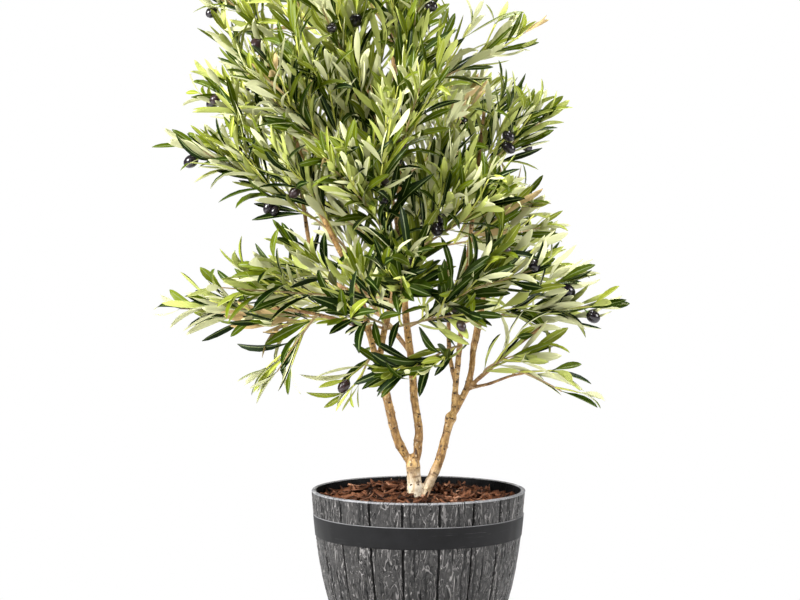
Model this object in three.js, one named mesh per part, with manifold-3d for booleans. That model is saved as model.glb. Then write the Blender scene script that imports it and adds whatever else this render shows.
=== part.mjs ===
// An artificial olive tree in a barrel planter, in millimetres, +Z up.
// The origin is the centre of the planter's flat underside. +X is to the tree's right as it is
// usually shown, and +Y is its back. Three slim stems rise from one foot, their boughs carry
// uneven masses of foliage, and bark chips on a ballast fill hold the foot in the planter.

import * as THREE from 'three';
import { mergeVertices } from 'three/addons/utils/BufferGeometryUtils.js';
import Module from 'manifold-3d';

const wasm = await Module();
wasm.setup();

// ---- Driving dimensions ----

const GAP = 0.3;                    // clearance between pieces that touch

const POT_HEIGHT = 237;
const RIM_RADIUS = 161;
const STAVE_RADIUS = 159.4;         // outside of the staves, just under the rim
const FOOT_RADIUS = 106.5;
const LIP_HEIGHT = 14;
const WALL = 7;
const FLOOR = 9;
const STAVES = 19;
const STAVE_TURN = -7.9;            // degrees from the front to the first joint between staves
const HOOP_THICKNESS = 1.8;
const UPPER_HOOP = { bottom: 169.5, top: 201.5 };
const LOWER_HOOP = { bottom: 34, top: 60 };

const GROUND = POT_HEIGHT - 8;      // the fill's flat top, where the foot is cut
const FILL_EDGE_DROP = 4;           // how far the fill falls away towards the wall
const FILL_GAP = 1.2;               // keeps the fill's flat sides clear of the wall's
const FOOT_FLAT_RADIUS = 34;

const BARK = { color: 0xb08a5e, roughness: 0.75 };
const LEAF_TINTS = [0x44603a, 0x5d7a43, 0x6f8a50, 0x52704a, 0x83965a];

const tree = new THREE.Group();

function add(name, geometry, { color, roughness = 0.7, metalness = 0 }) {
  geometry.computeVertexNormals();
  const material = new THREE.MeshStandardMaterial({ color, roughness, metalness });
  const mesh = new THREE.Mesh(geometry, material);
  mesh.name = name;
  tree.add(mesh);
}

// ---- Planter: a hollow barrel of moulded staves, two hoops and the fill ----

// The barrel narrows slowly under its rim and faster towards its foot.
function staveRadius(z) {
  const down = 1 - z / POT_HEIGHT;
  return STAVE_RADIUS - (STAVE_RADIUS - FOOT_RADIUS) * down * (0.37 + 0.63 * down ** 2);
}

function turned(profile) {
  const points = profile.map(([radius, z]) => new THREE.Vector2(radius, z));
  const geometry = new THREE.LatheGeometry(points, STAVES * 2);
  geometry.rotateX(Math.PI / 2);
  geometry.rotateZ(THREE.MathUtils.degToRad(STAVE_TURN));
  return geometry;
}

// Heights from low to high, evenly spaced, both ends included.
function levels(low, high, count) {
  return Array.from({ length: count + 1 }, (_, i) => low + ((high - low) * i) / count);
}

function potWall() {
  const outside = levels(0, POT_HEIGHT - LIP_HEIGHT, 5).map((z) => [staveRadius(z), z]);
  const inside = levels(FLOOR, POT_HEIGHT - LIP_HEIGHT, 4).map((z) => [staveRadius(z) - WALL, z]);
  return turned([
    [0, 0],
    ...outside,
    [RIM_RADIUS, POT_HEIGHT - LIP_HEIGHT + 2],
    [RIM_RADIUS, POT_HEIGHT],
    [RIM_RADIUS - WALL - 1, POT_HEIGHT],
    ...inside.reverse(),
    [0, FLOOR],
  ]);
}

// A hoop hugs the flat-sided staves, so it is bent by the same number of sides.
function hoop({ bottom, top }) {
  const outer = [bottom, top].map((z) => [staveRadius(z) + GAP + HOOP_THICKNESS, z]);
  const inner = [top, bottom].map((z) => [staveRadius(z) + GAP, z]);
  return turned([...outer, ...inner, outer[0]]);
}

function potFill() {
  const side = levels(FLOOR + GAP, GROUND - FILL_EDGE_DROP, 4);
  const wall = side.map((z) => [staveRadius(z) - WALL - FILL_GAP, z]);
  return turned([[0, FLOOR + GAP], ...wall, [FOOT_FLAT_RADIUS, GROUND], [0, GROUND]]);
}

const PLANTER = { color: 0x3c3c3b, roughness: 0.62 };
add('pot_wall', potWall(), PLANTER);
add('upper_hoop', hoop(UPPER_HOOP), { color: 0x2f2f30, roughness: 0.5 });
add('lower_hoop', hoop(LOWER_HOOP), { color: 0x2f2f30, roughness: 0.5 });
add('pot_fill', potFill(), { color: 0x5a3524, roughness: 0.95 });

// ---- Turning geometry into solids and back, for cutting one piece by another ----

function toSolid(geometry) {
  const bare = geometry.clone();
  bare.deleteAttribute('normal');
  bare.deleteAttribute('uv');
  const merged = mergeVertices(bare, 1e-3);
  return new wasm.Manifold(new wasm.Mesh({
    numProp: 3,
    vertProperties: new Float32Array(merged.getAttribute('position').array),
    triVerts: new Uint32Array(merged.getIndex().array),
  }));
}

function toGeometry(solid) {
  const { vertProperties, triVerts } = solid.getMesh();
  const geometry = new THREE.BufferGeometry();
  geometry.setAttribute('position', new THREE.BufferAttribute(vertProperties, 3));
  geometry.setIndex(new THREE.BufferAttribute(triVerts, 1));
  return geometry;
}

// Pieces already placed, each grown by the gap, for the next piece to be cut by.
const placed = [];

// Cut a piece by all that is placed, keep its largest body, and add it to the tree.
function place(name, build, look) {
  const whole = toSolid(build(0));
  const cut = placed.reduce((left, other) => left.subtract(other), whole);
  const bodies = cut.decompose().sort((a, b) => b.volume() - a.volume());
  add(name, toGeometry(bodies[0]), look);
  placed.push(toSolid(build(GAP)));
}

// ---- Limbs: round tapering tubes bent along a smooth curve ----

function limb({ path, thick, thin, flare = 0, sides = 6, steps = 6, cutFlat = false }) {
  const curve = new THREE.CatmullRomCurve3(path.map((point) => new THREE.Vector3(...point)));
  const frames = curve.computeFrenetFrames(steps);
  return (grow) => {
    const tube = new THREE.CylinderGeometry(1, 1, 1, sides, steps);
    const position = tube.getAttribute('position');
    for (let i = 0; i < position.count; i++) {
      const ring = Math.round((position.getY(i) + 0.5) * steps);
      const along = ring / steps;
      const spread = flare * Math.exp(-12 * along);
      const radius = thick + (thin - thick) * along + spread + grow;
      const point = curve.getPointAt(along);
      const level = cutFlat && ring === 0;
      const across = level ? new THREE.Vector3(1, 0, 0) : frames.normals[ring];
      const over = level ? new THREE.Vector3(0, -1, 0) : frames.binormals[ring].clone().negate();
      const end = grow * ((ring === steps ? 1 : 0) - (ring === 0 ? 1 : 0));
      point.addScaledVector(across, position.getX(i) * radius);
      point.addScaledVector(over, position.getZ(i) * radius);
      point.addScaledVector(frames.tangents[ring], end);
      position.setXYZ(i, point.x, point.y, point.z);
    }
    return tube;
  };
}

const LIMBS = {
  trunk: {
    path: [[-4.5, 0, GROUND + GAP], [-5.5, 0, 243], [-7, 0, 258], [-9.5, 0, 292]],
    thick: 10.2, thin: 9.8, flare: 2, sides: 9, steps: 5, cutFlat: true,
  },
  stem_left: {
    path: [[-14, 0, 286], [-26, -3, 297], [-36, -7, 325], [-47, -11, 375], [-61, -16, 427]],
    thick: 6.4, thin: 6.4, sides: 7, steps: 7,
  },
  stem_middle: {
    path: [[-5, 1, 288], [1, 4, 301], [2, 7, 318], [-7, 16, 375], [-9, 22, 415], [-17, 28, 474],
      [-26, 34, 594], [-34, 32, 820], [-52, 25, 1050]],
    thick: 6.1, thin: 2.5, sides: 7, steps: 26,
  },
  stem_right: {
    path: [[11, 2, 234.5], [22, 6, 257], [31, 9, 276], [41, 12, 315], [47, 14, 338], [53, 15, 355]],
    thick: 7.3, thin: 5.8, sides: 7, steps: 7,
  },
  bough_left_outer: {
    path: [[-61, -16, 425], [-74, -20, 476], [-90, -25, 540], [-146, -35, 655], [-203, -40, 830]],
    thick: 5, thin: 2.8, steps: 9,
  },
  bough_left_inner: {
    path: [[-59, -14, 425], [-51, -8, 476], [-37, 8, 530], [-46, 25, 654], [-84, 40, 880]],
    thick: 4.8, thin: 2.5, steps: 9,
  },
  bough_right_upright: {
    path: [[52, 15, 351], [53, 14, 366], [59, 12, 420], [69, 0, 535], [80, -8, 640], [97, -18, 802]],
    thick: 4.6, thin: 2.3, steps: 9,
  },
  bough_right_mid: {
    path: [[58, 16, 353], [68, 18, 375], [79, 20, 396], [81, 26, 434], [88, 36, 478], [121, 56, 609]],
    thick: 5.2, thin: 2.5, steps: 8,
  },
  bough_right_outer: {
    path: [[79, 19, 390], [94, 11, 403], [105, 4, 415], [140, -22, 449], [187, -40, 486]],
    thick: 3.5, thin: 2.2, steps: 5,
  },
  bough_right_low: {
    path: [[80, 15, 388], [100, 5, 392], [118, -8, 400], [136, -20, 408], [158, -32, 413]],
    thick: 2.6, thin: 1.7, steps: 4,
  },
  bough_right_inner: {
    path: [[54, 16, 398], [48, 24, 416], [46, 34, 460], [45, 48, 518], [42, 62, 579]],
    thick: 3.8, thin: 2.5, steps: 5,
  },
  bough_left_low: {
    path: [[-75, -20, 478], [-108, -32, 489], [-159, -50, 503], [-217, -62, 511]],
    thick: 3.4, thin: 2.2, steps: 5,
  },
  bough_left_back: {
    path: [[-86, -24, 524], [-124, -10, 543], [-159, 0, 577], [-168, 4, 640], [-189, 6, 759]],
    thick: 3.8, thin: 2.2, steps: 6,
  },
  bough_back_left: {
    path: [[-12, 26, 440], [-45, 60, 480], [-80, 105, 520], [-105, 140, 590]],
    thick: 3.6, thin: 2.3, steps: 5,
  },
  bough_back_right: {
    path: [[82, 30, 434], [92, 70, 470], [100, 110, 510], [104, 140, 580]],
    thick: 3.6, thin: 2.3, steps: 5,
  },
  bough_front: {
    path: [[-22, 28, 530], [-20, -20, 570], [-30, -80, 620], [-40, -130, 690]],
    thick: 3.6, thin: 2.3, steps: 5,
  },
};

for (const [name, size] of Object.entries(LIMBS)) place(name, limb(size), BARK);

// ---- Foliage: uneven plumes from a root near the stems to a tip on the crown's outline ----

// A plume bends in its own upright plane. arch lifts its middle above the straight line from
// root to tip, girth is half its width at the thickest, and depth scales its other half-width.
function plume({ root, tip, girth, arch = 0, depth = 0.85, turn = 0, sides = 8, steps = 6 }) {
  const start = new THREE.Vector3(...root);
  const end = new THREE.Vector3(...tip);
  const middle = start.clone().lerp(end, 0.5).add(new THREE.Vector3(0, 0, 2 * arch));
  const curve = new THREE.QuadraticBezierCurve3(start, middle, end);
  const heading = Math.atan2(end.y - start.y, end.x - start.x);
  const side = new THREE.Vector3(-Math.sin(heading), Math.cos(heading), 0);
  return (grow) => {
    const shell = new THREE.SphereGeometry(1, sides, steps);
    const position = shell.getAttribute('position');
    for (let i = 0; i < position.count; i++) {
      const along = Math.acos(THREE.MathUtils.clamp(position.getY(i), -1, 1)) / Math.PI;
      const around = Math.atan2(position.getZ(i), position.getX(i));
      const swell = Math.sin(Math.PI * along ** 0.85) ** 0.6;
      const lumps = 1 + 0.13 * Math.sin(3 * around + turn) + 0.1 * Math.sin(2 * around - 9 * along + turn);
      const radius = girth * swell * lumps;
      const pole = along < 0.01 || along > 0.99;
      const point = curve.getPoint(along);
      const tangent = curve.getTangent(along);
      const lift = new THREE.Vector3().crossVectors(tangent, side).normalize();
      const spread = pole ? 0 : radius + grow;
      point.addScaledVector(side, Math.cos(around) * spread * depth);
      point.addScaledVector(lift, Math.sin(around) * spread);
      if (pole) point.addScaledVector(tangent.normalize(), along < 0.5 ? -grow : grow);
      position.setXYZ(i, point.x, point.y, point.z);
    }
    return shell;
  };
}

// The crown leans to the left as it rises: the middle of its outline at a height.
function crownAxis(z) {
  return -10 - 0.13 * (z - 450);
}

// Each ring of plumes fans out round the crown's axis, in even steps round from the right by way
// of the back. reach is how far each tip stands from the axis, and climb is how far it rises.
const RINGS = {
  skirt: {
    root: 478, girth: 44, turn: 0, arch: 14,
    reach: [318, 255, 270, 372, 205, 195],
    climb: [36, 30, 30, 30, 24, 28],
  },
  low: {
    root: 520, girth: 54, turn: 30, arch: 6,
    reach: [288, 270, 275, 330, 262, 258],
    climb: [45, 72, 14, 26, 50, 60],
  },
  mid: {
    root: 590, girth: 60, turn: 12, arch: 12,
    reach: [255, 268, 280, 302, 268, 250],
    climb: [45, 120, 140, 165, 130, 100],
  },
  high: {
    root: 700, girth: 66, turn: -14, arch: -8,
    reach: [268, 255, 262, 306, 278, 250],
    climb: [98, 150, 170, 150, 165, 140],
  },
  top: {
    root: 820, girth: 64, turn: 8, arch: -8,
    reach: [246, 182, 225, 262, 215, 180],
    climb: [108, 190, 200, 195, 200, 190],
  },
};

const SIDES = ['right', 'back_right', 'back_left', 'left', 'front_left', 'front_right'];
const masses = {};

for (const [ring, { root, girth, turn, arch, reach, climb }] of Object.entries(RINGS)) {
  reach.forEach((out, i) => {
    const heading = THREE.MathUtils.degToRad(turn + (360 * i) / reach.length);
    const tipHeight = root + climb[i];
    const away = [Math.cos(heading), Math.sin(heading)];
    masses[`foliage_${ring}_${SIDES[i]}`] = {
      root: [crownAxis(root) + 45 * away[0], 40 * away[1], root],
      tip: [crownAxis(tipHeight) + out * away[0], out * away[1], tipHeight],
      girth,
      arch,
      turn: i * 2.1 + root / 100,
    };
  });
}

masses.foliage_leader = { root: [-60, 20, 900], tip: [-95, 15, 1160], girth: 72, turn: 1.3 };
masses.foliage_left_droop = {
  root: [-150, -55, 490], tip: [-224, -80, 390], girth: 28, arch: 10, turn: 0.4,
};
masses.foliage_left_tuft = {
  root: [-66, -24, 420], tip: [-104, -50, 368], girth: 26, arch: 12, turn: 2.2,
};
masses.foliage_centre_low = {
  root: [52, -36, 448], tip: [-46, -74, 406], girth: 38, arch: 0, turn: 1.1,
};
masses.foliage_right_tuft = {
  root: [92, -14, 408], tip: [166, -52, 446], girth: 26, arch: 8, turn: 1.9,
};
masses.foliage_right_droop = {
  root: [140, -24, 414], tip: [238, -64, 372], girth: 22, arch: 16, turn: 0.7,
};

for (const [index, [name, size]] of Object.entries(masses).entries()) {
  place(name, plume(size), { color: LEAF_TINTS[index % LEAF_TINTS.length], roughness: 0.6 });
}

export default tree;
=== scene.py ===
import math

import bpy
import numpy as np
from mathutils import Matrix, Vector
from mathutils.bvhtree import BVHTree


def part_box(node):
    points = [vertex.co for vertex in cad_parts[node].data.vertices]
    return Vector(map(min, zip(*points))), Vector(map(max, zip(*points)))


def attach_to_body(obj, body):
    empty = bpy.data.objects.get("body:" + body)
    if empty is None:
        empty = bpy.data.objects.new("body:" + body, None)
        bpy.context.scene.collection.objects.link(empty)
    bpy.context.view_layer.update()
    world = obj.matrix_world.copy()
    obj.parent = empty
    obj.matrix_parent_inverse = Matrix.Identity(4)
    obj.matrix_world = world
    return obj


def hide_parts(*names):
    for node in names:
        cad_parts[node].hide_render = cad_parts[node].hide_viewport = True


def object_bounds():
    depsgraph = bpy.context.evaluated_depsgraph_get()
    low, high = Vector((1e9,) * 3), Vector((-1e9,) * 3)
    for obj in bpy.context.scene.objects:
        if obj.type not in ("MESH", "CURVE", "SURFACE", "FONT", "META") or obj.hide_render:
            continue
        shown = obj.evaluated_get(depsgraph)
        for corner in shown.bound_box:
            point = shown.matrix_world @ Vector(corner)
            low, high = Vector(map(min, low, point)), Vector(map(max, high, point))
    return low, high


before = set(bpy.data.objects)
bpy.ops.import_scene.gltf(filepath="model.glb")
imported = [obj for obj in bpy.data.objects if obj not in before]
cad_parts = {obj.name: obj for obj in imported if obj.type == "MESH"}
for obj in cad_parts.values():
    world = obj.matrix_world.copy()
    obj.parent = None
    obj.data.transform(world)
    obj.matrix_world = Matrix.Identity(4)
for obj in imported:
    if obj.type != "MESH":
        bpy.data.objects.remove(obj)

cad_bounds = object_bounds()

# ---------------------------------------------------------------------------
# Camera. It stands three metres off at a little over half the tree's height
# and looks down by about two degrees, so the rim shows as a slim ellipse.
# ---------------------------------------------------------------------------
pot_low, pot_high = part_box("pot_wall")
RIM_Z = pot_high.z
CAMERA_DISTANCE = 2.985
CAMERA_RISE = 0.395            # above the rim
LENS, SENSOR = 90.0, 36.0
PITCH, YAW = math.radians(-2.148), math.radians(0.530)

scene = bpy.context.scene
camera_data = bpy.data.cameras.new("camera")
camera_data.lens = LENS
camera_data.sensor_width = SENSOR
camera = bpy.data.objects.new("camera", camera_data)
camera.location = (0, -CAMERA_DISTANCE, RIM_Z + CAMERA_RISE)
camera.rotation_euler = (math.pi / 2 + PITCH, 0, YAW)
scene.collection.objects.link(camera)
scene.camera = camera

# ---------------------------------------------------------------------------
# Studio. White paper under a white sky, with four softboxes: left, right, in
# front and overhead. The paper fades into the sky a little way from the pot.
# ---------------------------------------------------------------------------
scene.view_settings.view_transform = "Standard"
scene.view_settings.look = "None"


def add_node(tree, kind, inputs=(), **settings):
    """A shader node; inputs gives each socket a value or another node's output."""
    made = tree.nodes.new("ShaderNode" + kind)
    for name, value in settings.items():
        setattr(made, name, value)
    for socket, value in dict(inputs).items():
        if isinstance(value, bpy.types.NodeSocket):
            tree.links.new(value, made.inputs[socket])
        else:
            made.inputs[socket].default_value = value
    return made


def remap(tree, value, low=0.0, high=1.0, to_low=0.0, to_high=1.0, kind="LINEAR"):
    """A value's span from low to high, stretched over another span."""
    spans = {"Value": value, "From Min": low, "From Max": high, "To Min": to_low, "To Max": to_high}
    return add_node(tree, "MapRange", spans, interpolation_type=kind).outputs["Result"]


def maths(tree, operation, *values):
    """A Math node's result from one to three values."""
    return add_node(tree, "Math", enumerate(values), operation=operation).outputs["Value"]


SKY_LIGHT = 0.05               # how bright the sky is for all but the camera
world = bpy.data.worlds.new("sky")
world.use_nodes = True
sky = world.node_tree
sky.nodes.clear()
seen = add_node(sky, "LightPath").outputs["Is Camera Ray"]
strength = remap(sky, seen, to_low=SKY_LIGHT)
backdrop = add_node(sky, "Background", {"Color": (1, 1, 1, 1), "Strength": strength})
add_node(sky, "OutputWorld", {"Surface": backdrop.outputs["Background"]})
scene.world = world


CROWN_MIDDLE = Vector((-0.05, 0.0, 0.60))


def softbox(name, place, size, power):
    """A square area light that faces the middle of the crown."""
    light = bpy.data.lights.new(name, "AREA")
    light.size = size
    light.energy = power
    lamp = bpy.data.objects.new(name, light)
    lamp.location = place
    lamp.rotation_euler = (CROWN_MIDDLE - Vector(place)).to_track_quat("-Z", "Y").to_euler()
    scene.collection.objects.link(lamp)


softbox("softbox_left", (-2.3, -1.3, 1.7), 0.9, 178)
softbox("softbox_right", (2.4, -0.7, 1.4), 1.0, 66)
softbox("softbox_front", (-0.9, -2.6, 2.6), 0.7, 54)
softbox("softbox_top", (0.2, 0.3, 3.2), 1.0, 165)


def plain_material(name, colour, roughness=0.5, specular=0.5):
    """A Principled material, the same all over; colour is linear."""
    made = bpy.data.materials.new(name)
    made.use_nodes = True
    shader = made.node_tree.nodes["Principled BSDF"]
    shader.inputs["Base Color"].default_value = (*colour, 1)
    shader.inputs["Roughness"].default_value = roughness
    shader.inputs["Specular IOR Level"].default_value = specular
    made.diffuse_color = (*colour, 1)
    return made


def mesh_piece(name, points, faces, materials, face_slots=None):
    """A smooth mesh object from points and a list of arrays of faces, one array for each face size."""
    corners = np.concatenate([block.ravel() for block in faces]).astype(np.int32)
    sizes = np.concatenate([np.full(len(block), block.shape[1], np.int32) for block in faces])
    starts = np.concatenate([[0], np.cumsum(sizes)[:-1]]).astype(np.int32)
    mesh = bpy.data.meshes.new(name)
    mesh.vertices.add(len(points))
    mesh.vertices.foreach_set("co", np.asarray(points, np.float32).ravel())
    mesh.loops.add(len(corners))
    mesh.loops.foreach_set("vertex_index", corners)
    mesh.polygons.add(len(sizes))
    mesh.polygons.foreach_set("loop_start", starts)
    for material in materials:
        mesh.materials.append(material)
    if face_slots is not None:
        mesh.polygons.foreach_set("material_index", np.asarray(face_slots, np.int32))
    mesh.polygons.foreach_set("use_smooth", np.ones(len(sizes), bool))
    mesh.update(calc_edges=True)
    mesh.validate()
    piece = bpy.data.objects.new(name, mesh)
    scene.collection.objects.link(piece)
    return piece


FLOOR_HALF = 12.0
FADE_START, FADE_END = 0.20, 0.36
paper = plain_material("floor_paper", (0.75, 0.75, 0.75), 0.9, 0.1)
tree = paper.node_tree
where = add_node(tree, "NewGeometry").outputs["Position"]
reach = add_node(tree, "VectorMath", {0: where}, operation="LENGTH").outputs["Value"]
fade = remap(tree, reach, FADE_START, FADE_END, kind="SMOOTHSTEP")
seen = add_node(tree, "LightPath").outputs["Is Camera Ray"]
fade = maths(tree, "MULTIPLY", fade, seen)
glow = add_node(tree, "Emission", {"Color": (1, 1, 1, 1), "Strength": 1.0}).outputs["Emission"]
mixed = add_node(tree, "MixShader", {0: fade, 1: tree.nodes["Principled BSDF"].outputs["BSDF"], 2: glow})
tree.links.new(mixed.outputs["Shader"], tree.nodes["Material Output"].inputs["Surface"])
floor_points = np.array([(-1, -1, 0), (1, -1, 0), (1, 1, 0), (-1, 1, 0)], float) * FLOOR_HALF
floor = mesh_piece("floor", floor_points, [np.array([[0, 1, 2, 3]])], [paper])

# ---------------------------------------------------------------------------
# Barrel wall: one grey resin moulding of nineteen staves with joints, cracks,
# grain and knots cast in, dry-brushed lighter, with a smooth rounded lip.
# ---------------------------------------------------------------------------
STAVES = 19
STAVE_TURN = math.radians(-7.9)  # from the front to the first joint
LIP = 0.0026                   # height of the smooth band under the rim's top
WALL = 0.007
FLOOR_THICKNESS = 0.009
JOINT_HALF = 0.0140            # half a joint's width, in radians about the axis
JOINT_DEPTH = 0.0032
KNOTS, CRACKS = 2, 6           # on each stave
CRACK_HALF = 0.0068            # half a crack's width, in radians about the axis
STAVE_CROWN = 0.0007           # how far a stave's middle stands out over its edges
STAVE_STEP = 0.0005            # how far one stave may stand out over the next
WANDER = 0.009                 # how far a joint strays, in radians
GRAIN, FINE_GRAIN, KNOT_RINGS, CRACKLE, PITS, CRACK_DEPTH = 0.0007, 0.0003, 0.0005, 0.0007, 0.0007, 0.0020
ROWS, INNER_ROWS = 118, 16

rng = np.random.default_rng(11)
LATTICE = np.random.default_rng(3).random((64, 64, 64))


def value_noise(x, y, z=0.0):
    """Smooth noise from 0 to 1; one unit is one cell."""
    x, y, z = np.broadcast_arrays(np.asarray(x, float), y, z)
    place = np.stack([x, y, z], -1)
    cell = np.floor(place).astype(int)
    part = place - cell
    part = part * part * (3 - 2 * part)
    total = 0.0
    for corner in np.ndindex(2, 2, 2):
        weight = np.prod(np.where(np.array(corner), part, 1 - part), -1)
        index = (cell + np.array(corner)) & 63
        total = total + weight * LATTICE[index[..., 0], index[..., 1], index[..., 2]]
    return total


def smoothstep(low, high, value):
    """0 up to low and 1 from high, with a soft rise between; the other way round if low is the greater."""
    t = np.clip((value - low) / (high - low), 0, 1)
    return t * t * (3 - 2 * t)


def bell(away, reach):
    """A soft bump: 1 where away is 0, and almost nothing from twice the reach."""
    return np.exp(-(away / reach) ** 2)


def values_of(items, name, size, kind=np.float32):
    """One property of all of a mesh's points or edges, a row for each."""
    values = np.empty(len(items) * size, kind)
    items.foreach_get(name, values)
    return values.reshape(-1, size)


def node_arrays(node):
    """A CAD node's points and edges."""
    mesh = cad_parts[node].data
    return values_of(mesh.vertices, "co", 3).astype(float), values_of(mesh.edges, "vertices", 2, np.int32)


def ring_quads(rings, sides, looped=False):
    """The quads between rings of points, and from the last to the first if they are looped."""
    ring = np.arange(rings if looped else rings - 1)[:, None] * sides
    above = (ring + sides) % (rings * sides)
    side = np.arange(sides)
    after = (side + 1) % sides
    return np.stack([ring + side, ring + after, above + after, above + side], -1).reshape(-1, 4)


INWARD = [0, 3, 2, 1]          # the corners of a quad that faces the other way


def end_fans(rings, sides):
    """Triangles that close both ends of a run of rings, to two points stored after the rings."""
    side = np.arange(sides)
    after = (side + 1) % sides
    last, middle = (rings - 1) * sides, rings * sides
    return np.concatenate([np.stack([np.full(sides, middle), after, side], 1),
                           np.stack([np.full(sides, middle + 1), last + side, last + after], 1)])


wall_points, _ = node_arrays("pot_wall")
wall_reach = np.linalg.norm(wall_points[:, :2], axis=1)
RIM_RADIUS = wall_reach.max()
STAVE_RADIUS = RIM_RADIUS - 0.0016
FOOT_RADIUS = wall_reach[wall_points[:, 2] < 0.001].max()


def stave_radius(z):
    """The barrel narrows slowly under its rim and faster towards its foot."""
    down = 1 - z / RIM_Z
    return STAVE_RADIUS - (STAVE_RADIUS - FOOT_RADIUS) * down * (0.37 + 0.63 * down ** 2)


joints = STAVE_TURN + (np.arange(STAVES) + rng.uniform(-0.03, 0.03, STAVES)) * 2 * math.pi / STAVES
EDGE_STEPS = np.array([0.0, 0.3, 0.6, 0.85, 1.1, 1.6]) * JOINT_HALF
FACE_STEPS = 26
angles, stave_of, across = [], [], []
for k in range(STAVES):
    low = joints[k]
    high = joints[(k + 1) % STAVES] + (2 * math.pi if k == STAVES - 1 else 0)
    face = np.linspace(low + EDGE_STEPS[-1], high - EDGE_STEPS[-1], FACE_STEPS + 1)[1:]
    columns = np.concatenate([low + EDGE_STEPS, face, high - EDGE_STEPS[-2:0:-1]])
    angles.append(columns)
    stave_of.append(np.full(len(columns), k))
    across.append((columns - low) / (high - low))
angles, stave_of, across = np.concatenate(angles), np.concatenate(stave_of), np.concatenate(across)
COLUMNS = len(angles)

heights = np.concatenate([[0.0], np.linspace(0.0015, RIM_Z - LIP, ROWS)])
height_at, angle_at = np.meshgrid(heights, angles, indexing="ij")
stave_at = np.broadcast_to(stave_of, angle_at.shape)
across_at = np.broadcast_to(across, angle_at.shape)


def stave_noise(across, wide, tall, shift, layer=0.0):
    """Noise in cells of a width and height, with another pattern on each stave."""
    return value_noise(across / wide + stave_at * shift, height_at / tall, stave_at * layer)


def strays(stave):
    """How far the joint at the low side of a stave strays at each height."""
    return (value_noise(stave * 7.3, height_at / 0.022) - 0.5) * WANDER


angle_at = angle_at + strays(stave_at) * (1 - across_at) + strays((stave_at + 1) % STAVES) * across_at
width = 2 * math.pi / STAVES
from_joint = np.minimum(across_at, 1 - across_at) * width
trough = 1 - smoothstep(0.40, 1.10, from_joint / JOINT_HALF)
crown = STAVE_CROWN * (1 - (2 * across_at - 1) ** 4)
stand = rng.uniform(-STAVE_STEP, STAVE_STEP, STAVES)[stave_at]
arc = across_at * width * STAVE_RADIUS
knots = np.zeros_like(height_at)
round_knots = np.zeros_like(height_at)
for k in range(STAVES):
    for _ in range(KNOTS):
        aside = arc - rng.uniform(0.22, 0.78) * width * STAVE_RADIUS
        away = np.hypot(aside, (height_at - rng.uniform(0.0, RIM_Z)) / 1.7)
        size = rng.uniform(0.0045, 0.0085)
        knots += np.cos(away * 2 * math.pi / 0.0036) * bell(away, size) * (stave_at == k)
        round_knots += 0.005 * bell(away, 2 * size) * np.tanh(aside / 0.004) * (stave_at == k)
drift = arc + round_knots + (stave_noise(arc, 0.012, 0.026, 2.7, 1.3) - 0.5) * 0.010
grain = stave_noise(drift, 0.0034, 0.030, 5.1, 1.7) - 0.5
fine = stave_noise(drift, 0.0024, 0.0085, 9.7, 2.3) - 0.5
crackle = 1 - smoothstep(0.0, 0.075, np.abs(stave_noise(drift, 0.0062, 0.019, 3.1, 4.1) - 0.5))
pits = smoothstep(0.74, 0.86, stave_noise(arc, 0.0042, 0.0048, 6.1, 3.3))
crack = np.zeros_like(height_at)
for k in range(STAVES):
    for _ in range(CRACKS):
        place = rng.uniform(0.10, 0.90)
        z_low = rng.uniform(-0.02, 0.20)
        z_high = z_low + rng.uniform(0.03, 0.10)
        path = place * width + (value_noise(rng.random() * 60, height_at / 0.018) - 0.5) * 0.026
        thin = bell(across_at * width - path, CRACK_HALF)
        ends = smoothstep(z_low, z_low + 0.01, height_at)
        ends = ends * (1 - smoothstep(z_high - 0.01, z_high, height_at))
        crack = np.maximum(crack, thin * ends * (stave_at == k))
relief = crown + stand + GRAIN * grain + FINE_GRAIN * fine + KNOT_RINGS * knots - CRACKLE * crackle
relief -= CRACK_DEPTH * crack + PITS * pits + JOINT_DEPTH * trough
below_lip = smoothstep(RIM_Z - LIP, RIM_Z - LIP - 0.0022, height_at)
relief = relief * (0.15 + 0.85 * below_lip)


def evened(values, reach):
    """The mean of a grid's values over a square about each, round the barrel and up it."""
    for axis in (0, 1):
        padded = np.pad(values, [(reach, reach) if n == axis else (0, 0) for n in (0, 1)],
                        mode="wrap" if axis else "edge")
        rows = values.shape[axis]
        values = sum(padded.take(range(n, n + rows), axis) for n in range(2 * reach + 1)) / (2 * reach + 1)
    return values


# How far each point stands out of its surroundings, which is where the light paint goes.
# Painted highlight: a light band down each stave's left edge, beside its joint, where light from the left
# falls, broken up by noise.
painted_lit_edge = bell(across_at * width / JOINT_HALF - 1.35, 0.40)
painted_lit_edge *= smoothstep(0.35, 0.60, value_noise(stave_at * 3.7, height_at / 0.0045, 5.0))
standing = relief - evened(relief, 3) - 0.0012 * trough - 0.0007 * crack + 0.0014 * painted_lit_edge

# The lip's outline: how far each point stands out from the rim's radius and up from its top.
LIP_OUTLINE = [(-0.0002, -0.0019), (-0.0008, -0.0007), (-0.0022, 0.0), (-0.0052, 0.0), (-0.0068, -0.0010),
               (-0.0075, -0.0030)]
LIP_SINK = 0.0008              # how far the lip stays inside the CAD rim
inner_heights = np.linspace(RIM_Z - 0.008, FLOOR_THICKNESS, INNER_ROWS)
ridge = 0.0007 * trough[-1]
radii = [stave_radius(height_at) + relief]
radii += [np.full((1, COLUMNS), RIM_RADIUS + out - LIP_SINK) - ridge * (n < 3) * 0.8
          for n, (out, _) in enumerate(LIP_OUTLINE)]
radii += [(stave_radius(z) - WALL + 0.6 * ridge)[None] for z in inner_heights]
levels = [height_at] + [np.full((1, COLUMNS), RIM_Z + up) for _, up in LIP_OUTLINE]
levels += [np.full((1, COLUMNS), z) for z in inner_heights]
radii, levels = np.concatenate(radii), np.concatenate(levels)
wall_rows, outer_rows = len(radii), len(heights)
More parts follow.
